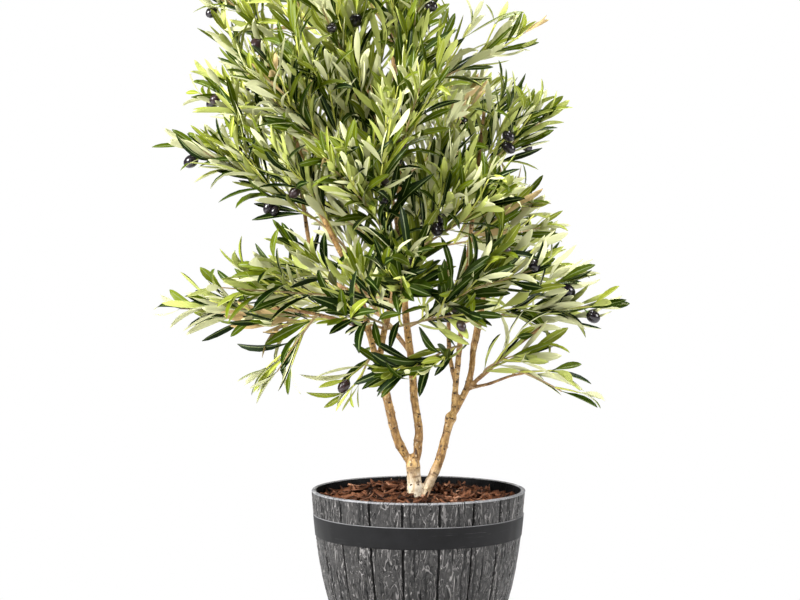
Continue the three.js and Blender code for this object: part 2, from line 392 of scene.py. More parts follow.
angle_at = np.concatenate([angle_at, np.broadcast_to(angles, (wall_rows - outer_rows, COLUMNS))])
points = np.stack([radii * np.sin(angle_at), -radii * np.cos(angle_at), levels], -1).reshape(-1, 3)
points = np.concatenate([points, [[0, 0, 0], [0, 0, FLOOR_THICKNESS]]])


def blend(tree, share, first, second):
    """A colour between two colours."""
    colours = {0: share, 6: first, 7: second}      # a Mix node's sockets for a factor and two colours
    return add_node(tree, "Mix", colours, data_type="RGBA").outputs[2]


def stretched_noise(tree, place, stretch, detail, roughness=0.5, distortion=0.0):
    """Noise in cells that are narrow where the stretch is great."""
    drawn = add_node(tree, "VectorMath", {0: place, 1: stretch}, operation="MULTIPLY").outputs["Vector"]
    inputs = {"Vector": drawn, "Scale": 1.0, "Detail": detail, "Roughness": roughness,
              "Distortion": distortion}
    return add_node(tree, "TexNoise", inputs).outputs["Fac"]


def stave_grain_group():
    """Grain and dry-brushed paint. Place is arc, height and how far a point stands out, in metres."""
    group = bpy.data.node_groups.new("stave_grain", "ShaderNodeTree")
    sockets = group.interface
    sockets.new_socket("Place", in_out="INPUT", socket_type="NodeSocketVector")
    for name in ("Hollow", "Body", "Paint"):
        sockets.new_socket(name, in_out="INPUT", socket_type="NodeSocketColor")
    sockets.new_socket("Colour", in_out="OUTPUT", socket_type="NodeSocketColor")
    sockets.new_socket("Roughness", in_out="OUTPUT", socket_type="NodeSocketFloat")
    sockets.new_socket("Height", in_out="OUTPUT", socket_type="NodeSocketFloat")
    enter = group.nodes.new("NodeGroupInput")
    leave = group.nodes.new("NodeGroupOutput")
    place = enter.outputs["Place"]

    def joined(operation, *values):
        return maths(group, operation, *values)

    def span(value, low, high, to_low=0.0, to_high=1.0):
        return remap(group, value, low, high, to_low, to_high, "SMOOTHSTEP")

    def stretched(across, up, detail, distortion=0.0):
        return stretched_noise(group, place, (across, up, 0), detail, 0.6, distortion)

    fine = stretched(620, 120, 2.0, 0.4)
    dashes = stretched(170, 90, 2.0, 0.4)
    contour = joined("FRACT", joined("MULTIPLY", stretched(72, 15, 1.5, 0.8), 5.5))
    check = joined("FRACT", joined("MULTIPLY", stretched(46, 62, 1.0, 0.8), 6.0))
    groove = joined("MULTIPLY", span(contour, 0.20, 0.06), span(dashes, 0.42, 0.52))
    ridge = joined("MULTIPLY", span(contour, 0.76, 0.85), span(contour, 1.00, 0.93))
    ridge = joined("MULTIPLY", ridge, span(dashes, 0.36, 0.50))
    checked = joined("MULTIPLY", span(check, 0.80, 0.95), span(dashes, 0.50, 0.42))
    ridge = joined("MAXIMUM", ridge, joined("MULTIPLY", checked, 0.6))
    height = joined("MULTIPLY_ADD", fine, 0.2, joined("SUBTRACT", ridge, groove))
    patches = span(stretched(34, 15, 3.0), 0.40, 0.62)
    stands = add_node(group, "SeparateXYZ", {"Vector": place}).outputs["Z"]
    raised = span(stands, 0.00010, 0.00070)
    sunk = span(stands, -0.00012, -0.00085)
    raised = joined("MULTIPLY", raised, span(fine, 0.56, 0.66))
    brushed = joined("MAXIMUM", joined("MULTIPLY", ridge, 0.50), raised)
    brushed = joined("MULTIPLY", brushed, joined("MULTIPLY_ADD", patches, 0.5, 0.5))
    shade = joined("MULTIPLY_ADD", span(fine, 0.34, 0.66), 0.5, joined("MULTIPLY", patches, 0.5))
    sunk = joined("MAXIMUM", joined("MULTIPLY", sunk, 0.95), joined("MULTIPLY", groove, 0.92))
    body = blend(group, shade, enter.outputs["Hollow"], enter.outputs["Body"])
    painted = blend(group, brushed, body, enter.outputs["Paint"])
    group.links.new(blend(group, sunk, painted, (0, 0, 0, 1)), leave.inputs["Colour"])
    group.links.new(span(fine, 0.36, 0.66, 0.62, 0.42), leave.inputs["Roughness"])
    group.links.new(height, leave.inputs["Height"])
    return group


def dress(material, colour, roughness, height, depth, strength=1.0):
    """Lay a patterned colour, roughness and relief on a material."""
    tree = material.node_tree
    shader = tree.nodes["Principled BSDF"]
    relief = add_node(tree, "Bump", {"Height": height, "Distance": depth, "Strength": strength})
    tree.links.new(colour, shader.inputs["Base Color"])
    if roughness is not None:
        tree.links.new(roughness, shader.inputs["Roughness"])
    tree.links.new(relief.outputs["Normal"], shader.inputs["Normal"])


def places_of(tree, name="grain"):
    """The places, or other triples, that a piece stores under a name."""
    return add_node(tree, "Attribute", attribute_name=name).outputs["Vector"]


def stave_material(name, hollow, body, paint, depth, specular=0.35):
    """Moulded resin: dark in its hollows, with light paint brushed over what stands out."""
    made = plain_material(name, body, 0.6, specular)
    tree = made.node_tree
    inputs = {"Place": places_of(tree), "Hollow": (*hollow, 1), "Body": (*body, 1), "Paint": (*paint, 1)}
    grain = add_node(tree, "Group", inputs, node_tree=stave_grain).outputs
    dress(made, grain["Colour"], grain["Roughness"], grain["Height"], depth)
    return made


stave_grain = stave_grain_group()
stave_resin = stave_material("stave_resin", (0.006, 0.0056, 0.0054), (0.034, 0.032, 0.031),
                             (0.40, 0.38, 0.37), 0.0016)
lip_resin = stave_material("lip_resin", (0.14, 0.14, 0.15), (0.30, 0.30, 0.31), (0.42, 0.42, 0.43), 0.0003)
inner_resin = stave_material("inner_resin", (0.003, 0.003, 0.0035), (0.006, 0.006, 0.0065),
                             (0.010, 0.010, 0.010), 0.0003, 0.06)
row_of_quad = np.repeat(np.arange(wall_rows - 1), COLUMNS)
on_staves = row_of_quad < outer_rows - 1
on_lip = row_of_quad < outer_rows + len(LIP_OUTLINE) - 2
quad_slots = np.select([on_staves, on_lip], [0, 1], 2)
wall_slots = np.concatenate([quad_slots, np.zeros(COLUMNS, int), np.full(COLUMNS, 2)])
wall = mesh_piece("barrel_wall", points, [ring_quads(wall_rows, COLUMNS), end_fans(wall_rows, COLUMNS)],
                  [stave_resin, lip_resin, inner_resin], wall_slots)


def name_places(piece, places, name="grain"):
    """Store a place, or another triple, for each point of a piece."""
    store = piece.data.attributes.new(name, "FLOAT_VECTOR", "POINT")
    store.data.foreach_set("vector", np.asarray(places, np.float32).ravel())


grain_place = np.zeros((wall_rows * COLUMNS + 2, 3))
grain_place[:-2, 0] = np.tile(across * width * STAVE_RADIUS + stave_of * 0.31, wall_rows)
grain_place[:-2, 1] = levels.ravel() + np.tile(stave_of * 0.17, wall_rows)
grain_place[:outer_rows * COLUMNS, 2] = standing.ravel()
name_places(wall, grain_place)
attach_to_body(wall, "root")
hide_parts("pot_wall")

# ---------------------------------------------------------------------------
# Hoops: two smooth dark bands cast on the staves like strap iron, with light top
# edges, partly wear and partly a painted highlight, and faint scratches.
# ---------------------------------------------------------------------------
HOOP_COLUMNS = 228
HOOP_EDGE = 0.0011
HOOP_STAND = 0.0017            # how far a hoop stands off the staves
SEAT = 0.0010                  # how far its back is sunk behind the staves' faces

hoop_resin = plain_material("hoop_resin", (0.008, 0.008, 0.009), 0.5, 0.15)
tree = hoop_resin.node_tree
place = places_of(tree)
scratch = stretched_noise(tree, place, (14, 300, 1), 3.0, distortion=2.2)
scuff = add_node(tree, "TexNoise", {"Vector": place, "Scale": 26.0, "Detail": 5.0, "Roughness": 0.65})
scuff = scuff.outputs["Fac"]
cloud = remap(tree, scuff, 0.35, 0.75)
worn = maths(tree, "MULTIPLY", remap(tree, scratch, 0.66, 0.74), cloud)
tone = blend(tree, cloud, (0.003, 0.003, 0.0034, 1), (0.008, 0.008, 0.009, 1))
tone = blend(tree, worn, tone, (0.09, 0.09, 0.09, 1))
# The light top edge: partly wear, partly a painted highlight where the top bevel catches the light.
edge = add_node(tree, "SeparateXYZ", {"Vector": place}).outputs["Z"]
tone = blend(tree, edge, tone, (0.20, 0.20, 0.205, 1))
dress(hoop_resin, tone, remap(tree, scuff, to_low=0.46, to_high=0.66), scuff, 0.0006, 0.6)

for hoop_name in ("upper_hoop", "lower_hoop"):
    hoop_low, hoop_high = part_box(hoop_name)
    bottom, top = hoop_low.z, hoop_high.z
    steps = np.linspace(bottom + HOOP_EDGE, top - HOOP_EDGE, 7)
    # How far each point stands off the staves, its height, and how light it is: wear and painted highlight.
    profile = [(-SEAT, bottom, 0), (HOOP_STAND - 0.0007, bottom, 0)]
    profile += [(HOOP_STAND, bottom + HOOP_EDGE * 0.6, 0)]
    profile += [(HOOP_STAND, z, 0) for z in steps]
    profile += [(HOOP_STAND, top - HOOP_EDGE * 0.8, 0.5), (HOOP_STAND - 0.0005, top - 0.0002, 1.0),
                (HOOP_STAND - 0.0012, top, 1.0), (-SEAT, top, 0)]
    profile = np.array(profile)
    turn = np.arange(HOOP_COLUMNS) * 2 * math.pi / HOOP_COLUMNS
    flat = 0.0004 * (value_noise(turn * 12, bottom * 90) - 0.5)
    reach = stave_radius(profile[:, 1])[:, None] + profile[:, :1] + flat[None] * (profile[:, :1] > 0)
    points = np.stack([reach * np.sin(turn), -reach * np.cos(turn),
                       np.broadcast_to(profile[:, 1:2], reach.shape)], -1)
    hoop = mesh_piece(hoop_name + "_band", points.reshape(-1, 3),
                      [ring_quads(len(profile), HOOP_COLUMNS, looped=True)], [hoop_resin])
    places = np.stack([np.broadcast_to(turn * STAVE_RADIUS, reach.shape), points[..., 2],
                       np.broadcast_to(profile[:, 2:3], reach.shape)], -1)
    name_places(hoop, places.reshape(-1, 3))
    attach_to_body(hoop, "root")
    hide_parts(hoop_name)

# ---------------------------------------------------------------------------
# Bark chips: shredded brown bark loose on the ballast. A rough dark bed fills
# the pot, and curled, splintered chips lie on it, a few deep.
# ---------------------------------------------------------------------------
fill_low, fill_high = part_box("pot_fill")
GROUND = fill_high.z
CHIPS = 640
BROAD_CHIPS = 70               # of those, flat flakes that lie at the front right
BED_RINGS, BED_COLUMNS = 26, 120
BED_FOOT = 0.12                # the height of the bed's underside
BED_DROP = 0.0045              # from the fill's top down to the bed's middle
rng = np.random.default_rng(23)

bed_reach = stave_radius(GROUND) - WALL - 0.0008
ring_reach = np.concatenate([np.linspace(0.004, bed_reach, BED_RINGS), [bed_reach - 0.002] * 3])
ring_level = np.concatenate([np.full(BED_RINGS, GROUND), [GROUND - 0.02, GROUND - 0.06, BED_FOOT]])
ring_reach[-2:] = stave_radius(ring_level[-2:]) - WALL - 0.001
turn = np.arange(BED_COLUMNS) * 2 * math.pi / BED_COLUMNS
bed_x, bed_y = ring_reach[:, None] * np.cos(turn), ring_reach[:, None] * np.sin(turn)


def bed_height(x, y):
    """The bed's surface: uneven, lower towards the wall, and heaped at the back left."""
    away = np.hypot(x, y) / bed_reach
    lumps = value_noise(x / 0.016 + 20, y / 0.016 + 20) - 0.5
    mound = np.exp(-((x + 0.050) ** 2 + (y - 0.090) ** 2) / 0.0055)
    foot = 0.003 * np.exp(-(x ** 2 + y ** 2) / 0.0016)
    return GROUND - BED_DROP - 0.006 * away ** 2 + 0.005 * lumps + 0.006 * mound - foot


bed_surface = np.broadcast_to(ring_level[:, None], bed_x.shape).copy()
bed_surface[:BED_RINGS] = bed_height(bed_x[:BED_RINGS], bed_y[:BED_RINGS])
points = np.stack([bed_x, bed_y, bed_surface], -1).reshape(-1, 3)
points = np.concatenate([points, [[0, 0, GROUND - BED_DROP], [0, 0, BED_FOOT]]])
quads = ring_quads(len(ring_reach), BED_COLUMNS)[:, INWARD]
fans = end_fans(len(ring_reach), BED_COLUMNS)[:, [0, 2, 1]]
# The bed's near-black is partly its own dark colour and partly painted shade for the gaps between the
# chips.
bed_material = plain_material("bark_bed", (0.028, 0.014, 0.008), 0.9)
tree = bed_material.node_tree
place = add_node(tree, "NewGeometry").outputs["Position"]
crumbs = add_node(tree, "TexNoise", {"Vector": place, "Scale": 260.0, "Detail": 4.0}).outputs["Fac"]
tone = blend(tree, crumbs, (0.002, 0.001, 0.001, 1), (0.022, 0.009, 0.005, 1))
dress(bed_material, tone, None, crumbs, 0.002)
bed = mesh_piece("bark_bed", points, [quads, fans], [bed_material])
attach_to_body(bed, "root")
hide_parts("pot_fill")

CHIP_ROWS = 6
t = np.linspace(-1, 1, CHIP_ROWS)
broad = np.arange(CHIPS) < BROAD_CHIPS
long = np.where(broad, rng.uniform(0.005, 0.0075, CHIPS), rng.uniform(0.009, 0.0190, CHIPS))
wide = np.where(broad, rng.uniform(0.0035, 0.0060, CHIPS), rng.uniform(0.0022, 0.0050, CHIPS))
thick = rng.uniform(0.0008, 0.0018, CHIPS)
curl = rng.normal(0, 0.80, CHIPS)
twist = rng.normal(0, 0.7, CHIPS) * np.where(broad, 0.3, 1.0)
reach = bed_reach * np.sqrt(rng.uniform(0.012, 1.0, CHIPS))
around = rng.uniform(0, 2 * math.pi, CHIPS)
spot = np.stack([reach * np.cos(around), reach * np.sin(around)], 1)
spot[broad] = (0.045, -0.105) + rng.uniform(-1, 1, (BROAD_CHIPS, 2)) * (0.055, 0.030)
reach = np.linalg.norm(spot, axis=1)
yaw = rng.uniform(0, 2 * math.pi, CHIPS)
pitch = rng.normal(0, 0.08, CHIPS)
roll = rng.normal(0, 0.38, CHIPS) * np.where(broad, 0.5, 1.0)
calm = 1 - 0.6 * smoothstep(0.70, 0.95, reach / bed_reach)      # flatter beside the wall
curl, pitch, roll = curl * calm, pitch * calm, roll * calm
bend = curl[:, None] * t[None]
straight = np.abs(curl)[:, None] < 0.05
divisor = np.where(straight, 1, curl[:, None])
along = np.where(straight, t[None], np.sin(bend) / divisor) * long[:, None]
lift = np.where(straight, 0, (1 - np.cos(bend)) / divisor) * long[:, None]
taper = np.array([0.80, 0.96, 1.0, 0.98, 0.92, 0.75])[None] * rng.uniform(0.80, 1.15, (CHIPS, CHIP_ROWS))
half_wide = wide[:, None] * taper
turned = (twist[:, None] * t[None])[..., None]
section = np.array([(-1, -1), (1, -1), (1, 1), (-1, 1)], float)
side_way = section[:, 0][None, None] * half_wide[..., None]
up_way = section[:, 1][None, None] * thick[:, None, None] * rng.uniform(0.6, 1.2, (CHIPS, CHIP_ROWS, 1))
local = np.stack([np.broadcast_to(along[..., None], side_way.shape),
                  side_way * np.cos(turned) - up_way * np.sin(turned),
                  lift[..., None] + side_way * np.sin(turned) + up_way * np.cos(turned)], -1)
local = local.reshape(CHIPS, -1, 3)


def spin(points, first, second, angle):
    """Turn points by an angle from one axis towards another."""
    a = points[..., first] * np.cos(angle) - points[..., second] * np.sin(angle)
    b = points[..., first] * np.sin(angle) + points[..., second] * np.cos(angle)
    points[..., first], points[..., second] = a, b


spin(local, 1, 2, roll[:, None])
spin(local, 0, 2, pitch[:, None])
spin(local, 0, 1, yaw[:, None])
local[..., :2] += spot[:, None]
beyond = np.maximum(0, np.hypot(local[..., 0], local[..., 1]).max(1) - bed_reach)
local[..., :2] -= (spot / np.linalg.norm(spot, axis=1)[:, None] * beyond[:, None])[:, None]
layer = rng.uniform(0.0002, 0.0085, CHIPS) * (1 - 0.45 * (reach / bed_reach) ** 2)
layer *= 0.35 + 0.65 * smoothstep(0.015, 0.050, reach)
local[..., 2] += (bed_height(spot[:, 0], spot[:, 1]) + layer)[:, None]
chip_ends = [[3, 2, 1, 0], np.arange(4) + (CHIP_ROWS - 1) * 4]
chip_quads = np.concatenate([ring_quads(CHIP_ROWS, 4), chip_ends])
shift = (np.arange(CHIPS) * CHIP_ROWS * 4)[:, None, None]
CHIP_TONES = [(0.052, 0.018, 0.008), (0.092, 0.034, 0.016), (0.016, 0.006, 0.003), (0.160, 0.066, 0.034),
              (0.32, 0.165, 0.100)]
chip_materials = [plain_material(f"chip_{n}", tone, 0.50, 0.14) for n, tone in enumerate(CHIP_TONES)]
chip_tone = rng.choice(4, CHIPS, p=[0.36, 0.30, 0.22, 0.12])
broken_faces = np.array([False, True, False, True] * (CHIP_ROWS - 1) + [True, True])
broken_tone = np.minimum(chip_tone + 1, 3)[:, None] + (rng.random((CHIPS, 1)) < 0.3)
chip_slots = np.where(broken_faces[None], broken_tone, chip_tone[:, None])
chips = mesh_piece("bark_chips", local.reshape(-1, 3), [(chip_quads[None] + shift).reshape(-1, 4)],
                   chip_materials, chip_slots.ravel())
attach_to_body(chips, "root")

# ---------------------------------------------------------------------------
# Stems: the trunk, three stems and their boughs, smooth tan bark over one core
# that forks, with streaks, leaf scars and short stubs. The foot is cream.
# ---------------------------------------------------------------------------
rng = np.random.default_rng(7)
LIMBS = [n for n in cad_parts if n.startswith(("trunk", "stem_", "bough_"))]
LIMBS.sort(key=lambda limb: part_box(limb)[0].z)   # from the foot up, so a limb follows its parent
STATION = 0.010                # spacing of the sections that are taken through a limb
LINE_START = 0.006             # where the first is taken, clear of the cut end
VOXEL = 0.0013                 # the fineness at which all limbs are made into one skin
SHRINK = 0.0005                # what the softening takes off a radius
ROOT_DEPTH = 0.012             # how far the trunk runs on into the chips
LINE_STEP = 0.003              # spacing of the points on a softened centre line
STREAK_RELIEF, WAVE_RELIEF, RING_RELIEF, SCAR_RELIEF = 0.00022, 0.00055, 0.00050, 0.00055
LIMB_SHIFT = 0.7               # along the bark's pattern, from one limb to the next
KNUCKLE_GAP, KNUCKLE_RISE = 0.026, 0.09    # up a limb, and as a share of its radius
STUB_GAP = 0.055               # between the stubs of cut twigs
STUB_THICK, STUB_THIN = 0.0020, 0.0012
THINNEST_WITH_STUBS = 0.0038   # the least radius of a limb that has any
MARK_GAP = 0.008               # between leaf scars or rings
KNOB_RISE, FLARE_RISE = 0.0048, 0.0022     # the knob at the right stem's end, and the trunk's flare
FORK_SWELL = {"stem_left": 0.25, "stem_middle": 0.45}      # where these leave the trunk


def unit(way):
    """The same direction with a length of one."""
    return way / (np.linalg.norm(way) + 1e-12)


def long_axis(points):
    """The direction in which a cloud of points is longest, turned to point up."""
    centred = points - points.mean(0)
    axis = np.linalg.svd(centred, full_matrices=False)[2][0]
    return axis if axis[2] >= 0 else -axis


def centre_line(node):
    """Points up the middle of a limb and the limb's radius at each."""
    points, edges = node_arrays(node)
    along = points @ long_axis(points)
    low, high = along.min() + LINE_START, along.max() - 0.002
    line, radii = [], []
    for level in np.linspace(low, high, max(4, round((high - low) / STATION))):
        a, b = along[edges[:, 0]], along[edges[:, 1]]
        crossing = (a - level) * (b - level) < 0
        share = ((level - a) / (b - a))[crossing]
        first, second = points[edges[crossing, 0]], points[edges[crossing, 1]]
        ring = first + (second - first) * share[:, None]
        line.append(ring.mean(0))
        radii.append(np.linalg.norm(ring - ring.mean(0), axis=1).mean())
    return np.array(line), np.array(radii)


def run_of(line):
    """The distance along a line to each of its points."""
    return np.concatenate([[0], np.cumsum(np.linalg.norm(np.diff(line, axis=0), axis=1))])


def resample(line, radii, step, soften=0):
    """The same line with even steps, softened a number of times."""
    run = run_of(line)
    at = np.linspace(0, run[-1], max(3, round(run[-1] / step) + 1))
    line = np.stack([np.interp(at, run, line[:, k]) for k in range(3)], 1)
    radii = np.interp(at, run, radii)
    for _ in range(soften):
        line[1:-1] = (line[:-2] + 2 * line[1:-1] + line[2:]) / 4
        radii[1:-1] = (radii[:-2] + 2 * radii[1:-1] + radii[2:]) / 4
    return line, radii


def frames_along(line):
    """Tangents, and two directions square to each that turn as little as they can."""
    tangents = np.gradient(line, axis=0)
    tangents /= np.linalg.norm(tangents, axis=1)[:, None]
    normal = np.cross(tangents[0], (0.0, 1.0, 0.0) if abs(tangents[0][1]) < 0.9 else (1.0, 0.0, 0.0))
    normals = []
    for tangent in tangents:
        normal = unit(normal - tangent * (normal @ tangent))
        normals.append(normal)
    normals = np.array(normals)
    return tangents, normals, np.cross(tangents, normals)


def tube(line, radii, sides):
    """Rings of points round a line, the quads between them, and a fan at each end."""
    _, normals, binormals = frames_along(line)
    turn = np.arange(sides) * 2 * math.pi / sides
    turn = turn[None, :, None]
    spokes = np.cos(turn) * normals[:, None] + np.sin(turn) * binormals[:, None]
    rings = line[:, None] + radii[:, None, None] * spokes
    points = np.concatenate([rings.reshape(-1, 3), line[:1], line[-1:]])
    return points, ring_quads(len(line), sides), end_fans(len(line), sides)


def joined_tubes(tubes):
    """All the points of some tubes, and all their quads and fans."""
    offsets = np.cumsum([0] + [len(points) for points, _, _ in tubes])
    faces = [np.concatenate([t[k] + offset for t, offset in zip(tubes, offsets)]) for k in (1, 2)]
    return np.concatenate([t[0] for t in tubes]), faces


limb_lines = {}
for name in LIMBS:
    line, radii = centre_line(name)
    if name in ("trunk", "stem_right"):
        lean = 0.0 if name == "trunk" else 1.0
        way = line[1] - line[0]
        root = line[0] - way * (lean, lean, 1) / way[2] * (line[0][2] - GROUND + ROOT_DEPTH)
        line, radii = np.concatenate([root[None], line]), np.concatenate([radii[:1], radii])
    else:
        # It starts a little way back down the middle of the limb that it leaves.
        parents = np.concatenate([points for points, _ in limb_lines.values()])
        owners = np.repeat(np.arange(len(limb_lines)), [len(points) for points, _ in limb_lines.values()])
        nearest = int(np.argmin(np.linalg.norm(parents - line[0], axis=1)))
        parent_line, parent_radii = list(limb_lines.values())[owners[nearest]]
        index = nearest - int(np.argmax(owners == owners[nearest]))
        back = max(0, index - round(2.2 * parent_radii[index] / LINE_STEP))
        line = np.concatenate([parent_line[back][None], line])
        radii = np.concatenate([[min(1.08 * radii[0], 0.95 * parent_radii[back])], radii])
    limb_lines[name] = resample(line, radii, LINE_STEP, 9)

tubes = []
for name, (line, radii) in limb_lines.items():
    run = run_of(line)
    knuckles = radii + SHRINK
    for at in np.arange(0.02, run[-1], KNUCKLE_GAP):
        knuckles += KNUCKLE_RISE * radii * bell(run - at - rng.uniform(-0.008, 0.008), 0.0035)
    if name == "stem_right":
        knuckles += KNOB_RISE * bell(run - run[-1] + 0.007, 0.010)
        knuckles *= np.sqrt(np.clip((run[-1] - run) / 0.014, 0.02, 1))
    if name == "trunk":
        knuckles += FLARE_RISE * bell(np.maximum(0, run - 0.010), 0.020)
        knuckles *= np.sqrt(np.clip((run[-1] - run) / 0.015, 0.04, 1))
    if name in FORK_SWELL:
        knuckles *= 1 + FORK_SWELL[name] * bell(run - 0.020, 0.016)
    tubes.append(tube(line, knuckles, 16))
    tangents, normals, binormals = frames_along(line)
    for at in np.arange(0.03, run[-1], STUB_GAP):
        if radii[0] < THINNEST_WITH_STUBS:
            break
        i = int(np.searchsorted(run, min(at + rng.uniform(-0.03, 0.03), run[-1] - 0.002)))
        turn = rng.uniform(0, 2 * math.pi)
        out = math.cos(turn) * normals[i] + math.sin(turn) * binormals[i]
        stub_length = radii[i] + rng.uniform(0.0012, 0.0036)
        stub = line[i] + np.linspace(0.3, 1, 4)[:, None] * (out + 0.5 * tangents[i]) * stub_length
        tubes.append(tube(stub, np.linspace(STUB_THICK, STUB_THIN, 4), 8))
stems = mesh_piece("stems", *joined_tubes(tubes), [])
union = stems.modifiers.new("union", "REMESH")
union.mode = "VOXEL"
union.voxel_size = VOXEL
union.use_smooth_shade = True
soften = stems.modifiers.new("soften", "SMOOTH")
soften.iterations = 14
soften.factor = 0.5
stems.data = bpy.data.meshes.new_from_object(stems.evaluated_get(bpy.context.evaluated_depsgraph_get()))
stems.modifiers.clear()

mesh = stems.data
count = len(mesh.vertices)
points = values_of(mesh.vertices, "co", 3).astype(float)
normals = values_of(mesh.vertex_normals, "vector", 3).astype(float)
samples, sample_radii, sample_run, sample_side, sample_over, sample_limb = [], [], [], [], [], []
for n, (line, radii) in enumerate(limb_lines.values()):
    _, sides, overs = frames_along(line)
    samples.append(line)
    sample_radii.append(radii)
    sample_run.append(run_of(line) + LIMB_SHIFT * n)
    sample_side.append(sides)
    sample_over.append(overs)
    sample_limb.append(np.full(len(line), n))
samples, sample_side, sample_over = map(np.concatenate, (samples, sample_side, sample_over))
sample_radii, sample_run, sample_limb = map(np.concatenate, (sample_radii, sample_run, sample_limb))
nearest = np.empty(count, int)
BLOCK = 4000                   # points measured at a time, which keeps the memory small
for start in range(0, count, BLOCK):
    block = points[start:start + BLOCK]
    gap = ((block[:, None] - samples[None]) ** 2).sum(-1) - (sample_radii ** 2)[None]
    nearest[start:start + BLOCK] = gap.argmin(1)
off = points - samples[nearest]
side_part = (off * sample_side[nearest]).sum(1)
over_part = (off * sample_over[nearest]).sum(1)
run = sample_run[nearest]
angle = np.arctan2(over_part, side_part)
local_radius = sample_radii[nearest]


def bark_noise(wide, tall, shift):
    """Noise in cells of a width round a limb and a height up it."""
    return value_noise(side_part / wide + shift, over_part / wide + shift, run / tall)


streaks = bark_noise(0.0016, 0.022, 30) - 0.5
waves = bark_noise(0.006, 0.012, 30) - 0.5
flecks = smoothstep(0.80, 0.92, bark_noise(0.0020, 0.0034, 9))
scar = np.zeros(count)
rings = np.zeros(count)
for n, (line, radii) in enumerate(limb_lines.values()):
    length = run_of(line)[-1]
    here = sample_limb[nearest] == n
    for at in np.arange(0.010, length, MARK_GAP):
        at = LIMB_SHIFT * n + at + rng.uniform(-0.005, 0.005)
        faces = rng.uniform(-math.pi, math.pi)
        turned_off = np.abs(np.angle(np.exp(1j * (angle - faces)))) * local_radius
        if rng.random() < 0.45:
            tall, broad = rng.uniform(0.0011, 0.0020), rng.uniform(0.0016, 0.0036)
            mark = np.exp(-((run - at) / tall) ** 2 - (turned_off / broad) ** 2)
            scar = np.maximum(scar, mark * here)
        else:
            band = bell(run - at, 0.0013) * smoothstep(0.010, 0.004, turned_off)
            rings = np.maximum(rings, band * here)
scale = np.clip(local_radius / 0.007, 0.35, 1.2)
relief = scale * (STREAK_RELIEF * streaks + WAVE_RELIEF * waves + RING_RELIEF * rings - SCAR_RELIEF * scar)
points += normals * relief[:, None]
mesh.vertices.foreach_set("co", points.astype(np.float32).ravel())
mesh.update()
mesh.polygons.foreach_set("use_smooth", np.ones(len(mesh.polygons), bool))

bark = plain_material("bark", (0.42, 0.26, 0.12), 0.45, 0.30)
tree = bark.node_tree
split = places_of(tree)
marks = add_node(tree, "SeparateXYZ", {"Vector": places_of(tree, "marks")}).outputs
pale = add_node(tree, "SeparateXYZ", {"Vector": places_of(tree, "pale")}).outputs
streak = stretched_noise(tree, split, (240, 240, 110), 4.0, 0.65)
blotch = stretched_noise(tree, split, (80, 80, 60), 3.0)
streak_mask = remap(tree, streak, 0.36, 0.66)
blotch_mask = remap(tree, blotch, 0.42, 0.60)
drawn = add_node(tree, "VectorMath", {0: split, 1: (105, 105, 200)}, operation="MULTIPLY").outputs["Vector"]
pore = add_node(tree, "TexVoronoi", {"Vector": drawn, "Scale": 1.0}).outputs["Distance"]
pore = remap(tree, pore, 0.24, 0.15)
up_limb = add_node(tree, "SeparateXYZ", {"Vector": split}).outputs["Z"]
node_line = maths(tree, "FRACT", maths(tree, "MULTIPLY_ADD", up_limb, 46.0, blotch))
node_line = maths(tree, "MULTIPLY", remap(tree, node_line, 0.90, 0.94), blotch_mask)
tan = blend(tree, streak_mask, (0.27, 0.145, 0.042, 1), (0.69, 0.450, 0.180, 1))
dark_tan = blend(tree, streak_mask, (0.12, 0.055, 0.016, 1), (0.47, 0.270, 0.092, 1))
cream = blend(tree, streak_mask, (0.50, 0.37, 0.22, 1), (0.84, 0.77, 0.64, 1))
skin = blend(tree, blotch_mask, dark_tan, tan)
# Over the tan: slender boughs' brown, the foot's cream, pale flecks, rings, scars, pores and node lines.
for share, colour in [(marks["Z"], (0.19, 0.10, 0.045, 1)), (pale["X"], cream),
                      (pale["Y"], (0.80, 0.68, 0.46, 1)), (marks["Y"], (0.16, 0.085, 0.04, 1)),
                      (marks["X"], (0.026, 0.012, 0.006, 1)), (pore, (0.060, 0.030, 0.014, 1)),
                      (node_line, (0.055, 0.026, 0.012, 1))]:
    skin = blend(tree, share, skin, colour)
dress(bark, skin, remap(tree, streak, to_low=0.32, to_high=0.55), streak, 0.0007, 0.9)
mesh.materials.clear()
mesh.materials.append(bark)
name_places(stems, np.stack([side_part, over_part, run], 1))
slender = smoothstep(0.0045, 0.0026, local_radius)
name_places(stems, np.stack([smoothstep(0.35, 0.7, scar), 0.65 * rings, 0.5 * slender], 1), "marks")
on_trunk = sample_limb[nearest] == list(limb_lines).index("trunk")
foot = smoothstep(GROUND + 0.050, GROUND + 0.012, points[:, 2]) * np.where(on_trunk, 1.0, 0.6)
name_places(stems, np.stack([foot, 0.55 * flecks, 0 * foot], 1), "pale")
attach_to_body(stems, "root")
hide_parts(*LIMBS)

# ---------------------------------------------------------------------------
# Shoots: one wired spray for each mass of foliage, with side shoots all round
# it and twiglets on those. They leave the nearest limb and stay in the mass.
# ---------------------------------------------------------------------------
rng = np.random.default_rng(12)
MASSES = [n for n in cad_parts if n.startswith("foliage_")]
LEAF_LENGTH = 0.067
GOLDEN = math.radians(137.5)
UP = np.array([0.0, 0.0, 1.0])
CROWN_FOOT, CROWN_FULL = 0.46, 0.74   # shoots turn upwards more the higher they stand
SHOOT_GAP, SHOOT_LENGTH = (0.016, 0.023), (0.10, 0.20)
SPARSE_GAP, SPARSE_LENGTH = (0.028, 0.041), (0.08, 0.16)    # in the top ring and the two lowest
TWIGLET_GAP, TWIGLET_LENGTH = (0.040, 0.060), (0.04, 0.07)
BEARS_TWIGLETS = 0.075         # the least length of a side shoot that has any
THINNING = (0.12, 0.28)        # from the crown's middle: where the gaps begin to widen, and are widest
SPRAY_GAP, SPRAY_LENGTH = (0.016, 0.024), (0.05, 0.11)      # in the masses that hang or stand alone
